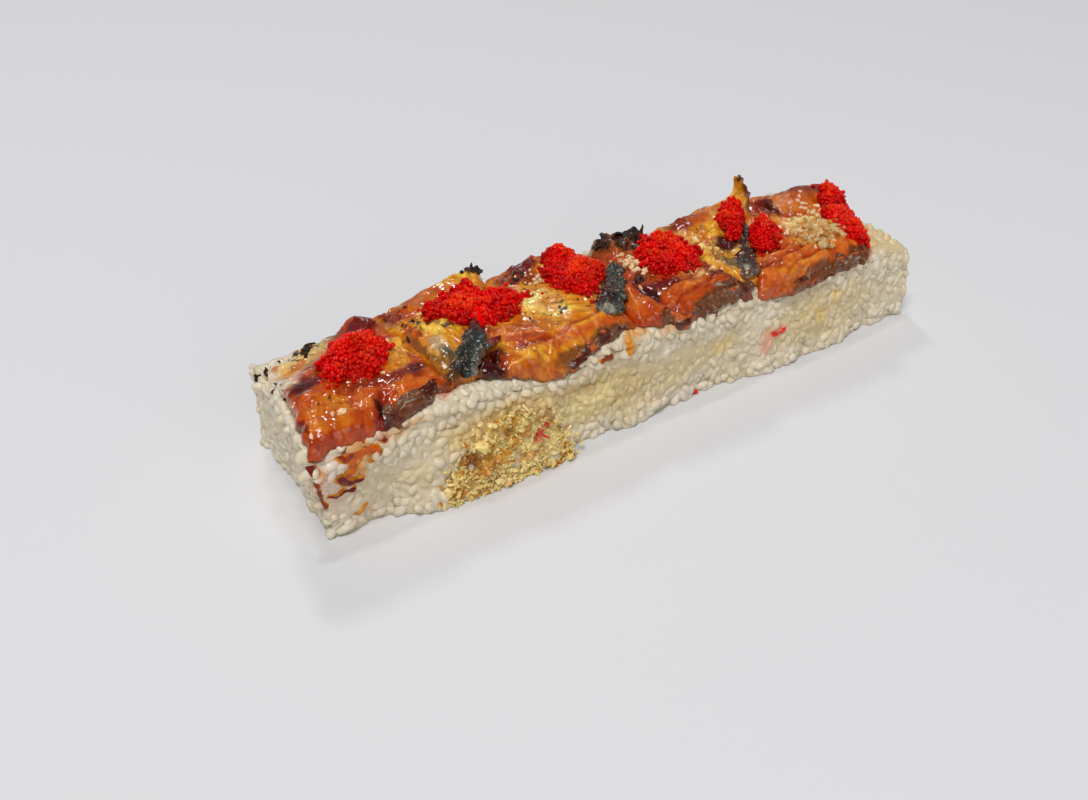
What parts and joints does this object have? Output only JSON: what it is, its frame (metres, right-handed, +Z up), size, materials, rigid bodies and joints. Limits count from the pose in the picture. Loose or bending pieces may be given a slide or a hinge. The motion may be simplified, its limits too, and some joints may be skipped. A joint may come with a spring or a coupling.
{
  "type": "aburi eel sushi",
  "caption": "Long pressed sushi log: rice with a crumb filling, topped with glazed seared eel slices, folds of dark skin, red roe and chopped nuts.",
  "frame": {"origin": "middle of the flat base that the log rests on, halfway along and halfway across", "axes": "+X along the log to the end with bare rice, -Y to the front with the crumb filling, +Z up"},
  "size_m": [0.2323, 0.0659, 0.0473],
  "materials": {
    "rice": "cooked sushi rice, moist satin",
    "crumb": "fried crumbs, dull",
    "eel": "seared eel under a wet glaze, glossy",
    "skin": "wet grey eel skin, glossy",
    "roe": "wet red roe, glossy",
    "nut": "chopped nuts, dull"
  },
  "bodies": {
    "root": {"rice_block": "rice", "crumb_filling": "crumb", "eel_slice_1": "eel", "eel_slice_2": "eel", "eel_slice_3": "eel", "eel_slice_4": "eel", "eel_slice_5": "eel", "eel_slice_6": "eel", "skin_fold_1": "skin", "skin_fold_2": "skin", "skin_fold_3": "skin", "roe_heap_1": "roe", "roe_heap_2": "roe", "roe_heap_3": "roe", "roe_heap_4": "roe", "roe_heap_5": "roe", "roe_heap_6": "roe", "roe_heap_7": "roe", "nut_heap": "nut"}
  },
  "joints": []
}
